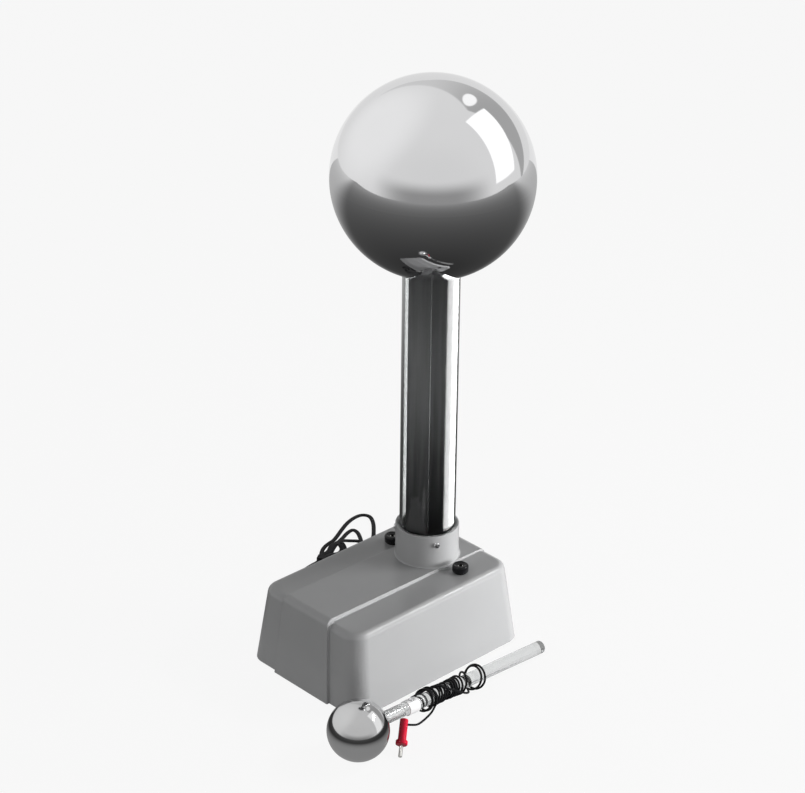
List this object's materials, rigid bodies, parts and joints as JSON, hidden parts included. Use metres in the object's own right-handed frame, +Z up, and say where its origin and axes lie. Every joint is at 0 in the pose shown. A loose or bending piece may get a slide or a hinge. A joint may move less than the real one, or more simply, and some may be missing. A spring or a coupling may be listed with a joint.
{
  "type": "van de graaff generator",
  "caption": "Electrostatic generator: polished hollow dome on a clear tube with a charge belt, motor in a moulded base, mains lead, and a loose discharge wand with its lead.",
  "frame": {"origin": "middle of the floor rectangle that the machine and its wand cover, at table height, without the cords and what is on them", "axes": "+Z up along the column; +X to the machine's right side, where the wand lies; +Y to the back of the base, where the column stands"},
  "size_m": [0.4035, 0.3763, 0.6345],
  "materials": {
    "housing_plastic": "satin silver-grey moulded plastic",
    "zinc_steel": "plated sheet steel and shafts",
    "foot_rubber": "matt black rubber",
    "screw_steel": "bright plated screws",
    "clear_acrylic": "clear polished acrylic",
    "bush_brass": "plain machined brass",
    "roller_plastic": "white turned plastic",
    "belt_rubber": "dark grey rubber",
    "frame_plastic": "black moulded plastic",
    "motor_steel": "dark painted steel",
    "motor_core": "laminated steel core and winding",
    "dome_steel": "mirror-polished stainless steel",
    "cap_black": "glossy black plastic",
    "switch_black": "black plastic",
    "cord_black": "soft black vinyl",
    "plug_red": "glossy red plastic"
  },
  "bodies": {
    "base": {"base_housing": "housing_plastic", "column_collar": "housing_plastic", "base_plate": "zinc_steel", "rubber_feet": "foot_rubber", "base_plate_screws": "screw_steel", "collar_set_screws": "screw_steel", "column_tube": "clear_acrylic", "roller_bracket": "zinc_steel", "lower_bushes": "bush_brass", "drive_belt": "belt_rubber", "charge_belt": "belt_rubber", "comb_bar": "frame_plastic", "lower_comb": "bush_brass", "comb_lead": "cord_black", "motor_can": "motor_steel", "motor_end_bell": "motor_steel", "motor_stator": "motor_core", "motor_bracket": "zinc_steel", "motor_screws": "screw_steel", "bracket_screws": "screw_steel", "motor_lead": "cord_black", "supply_lead": "cord_black", "head_frame": "frame_plastic", "upper_bushes": "bush_brass", "upper_comb": "bush_brass", "terminal_studs": "bush_brass", "terminal_washers": "cap_black", "terminal_nuts": "bush_brass", "switch_body": "switch_black", "cord_strain_relief": "cord_black", "mains_cord": "cord_black", "mains_cord_hank": "cord_black", "cord_tie": "cord_black", "mains_cord_tail": "cord_black", "mains_plug_body": "cord_black", "mains_plug_pins": "bush_brass"},
    "motor_spindle": {"motor_rotor": "motor_core", "motor_shaft": "zinc_steel", "motor_pulley": "frame_plastic"},
    "lower_spindle": {"lower_roller": "roller_plastic", "lower_shaft": "zinc_steel", "driven_pulley": "frame_plastic"},
    "upper_spindle": {"upper_roller": "roller_plastic", "upper_shaft": "zinc_steel"},
    "dome": {"dome_lower_shell": "dome_steel", "dome_upper_shell": "dome_steel", "dome_joint_ring": "dome_steel", "dome_neck": "dome_steel"},
    "cap_right": {"terminal_cap_right": "cap_black"},
    "cap_left": {"terminal_cap_left": "cap_black"},
    "rocker": {"switch_rocker": "switch_black"},
    "wand": {"wand_ball": "dome_steel", "wand_stud": "screw_steel", "wand_rod": "clear_acrylic", "wand_ferrule": "screw_steel", "wand_ferrule_screw": "screw_steel", "wand_lead_winding": "cord_black", "wand_lead_tail": "cord_black", "banana_plug_body": "plug_red", "banana_plug_pin": "screw_steel"}
  },
  "joints": [
    {"name": "motor_spin", "type": "hinge", "parent": "base", "child": "motor_spindle", "pos_m": [-0.03825, -0.0144, 0.04], "axis": [1, 0, 0], "continuous": true},
    {"name": "lower_roller_spin", "type": "hinge", "parent": "base", "child": "lower_spindle", "pos_m": [-0.02925, 0.0741, 0.046], "axis": [1, 0, 0], "continuous": true},
    {"name": "upper_roller_spin", "type": "hinge", "parent": "base", "child": "upper_spindle", "pos_m": [-0.02925, 0.0741, 0.505], "axis": [1, 0, 0], "continuous": true},
    {"name": "dome_lift", "type": "slide", "parent": "base", "child": "dome", "axis": [0, 0, 1], "range_m": [0, 0.12]},
    {"name": "cap_right_turn", "type": "hinge", "parent": "base", "child": "cap_right", "pos_m": [0.02035, 0.0761, 0.096], "axis": [0, 0, 1], "range_deg": [0, 720]},
    {"name": "cap_left_turn", "type": "hinge", "parent": "base", "child": "cap_left", "pos_m": [-0.07475, 0.0661, 0.096], "axis": [0, 0, 1], "range_deg": [0, 720]},
    {"name": "rocker_tilt", "type": "hinge", "parent": "base", "child": "rocker", "pos_m": [-0.07425, 0.13124, 0.04783], "axis": [0, -0.0838, 0.9965], "range_deg": [-16, 0]},
    {"name": "wand_lift", "type": "slide", "parent": "base", "child": "wand", "axis": [0, 0, 1], "range_m": [0, 0.2]}
  ],
  "couplings": [
    {"joint": "lower_roller_spin", "follows": "motor_spin", "ratio": 0.66667},
    {"joint": "upper_roller_spin", "follows": "motor_spin", "ratio": 0.66667}
  ]
}
